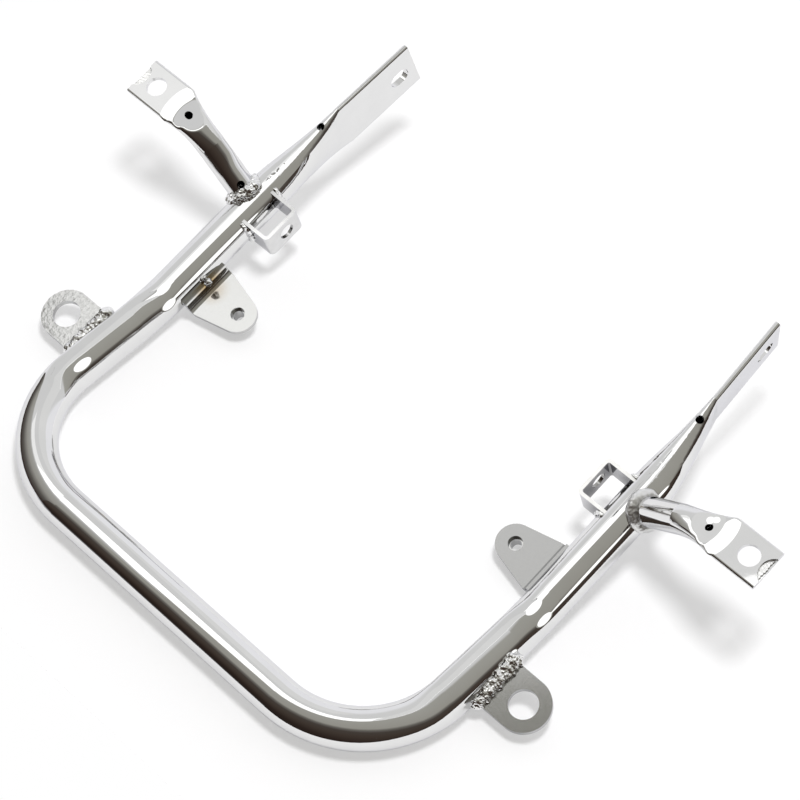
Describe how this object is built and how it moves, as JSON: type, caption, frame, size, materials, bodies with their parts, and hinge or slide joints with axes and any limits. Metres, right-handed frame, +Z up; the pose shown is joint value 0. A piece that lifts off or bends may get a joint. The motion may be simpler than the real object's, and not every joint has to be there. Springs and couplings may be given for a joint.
{
  "type": "atv rear grab bar",
  "caption": "Chromed U-shaped tube grab bar with kicked-up flattened leg ends, side struts with bolt tabs, round lugs, folded tabs and box brackets welded on.",
  "frame": {"origin": "Middle of the bounding box on the floor the bar rests on.", "axes": "X runs across from leg to leg, Y runs along the legs from the crossbar towards the slotted ears, Z is up."},
  "size_m": [0.498, 0.3652, 0.0835],
  "materials": {
    "tube": "bright chrome plate",
    "plate": "satin chrome plate",
    "weld": "chrome plate over lumpy weld",
    "nut": "chrome plate"
  },
  "bodies": {
    "root": {"main_tube": "tube", "right_strut": "tube", "left_strut": "tube", "right_lug": "plate", "left_lug": "plate", "right_tab": "plate", "left_tab": "plate", "right_box_bracket": "plate", "left_box_bracket": "plate", "right_tab_nut": "nut", "left_tab_nut": "nut", "right_strut_weld": "weld", "left_strut_weld": "weld", "right_lug_weld": "weld", "left_lug_weld": "weld", "right_tab_weld": "weld", "left_tab_weld": "weld", "right_box_weld": "weld", "left_box_weld": "weld"}
  },
  "joints": []
}
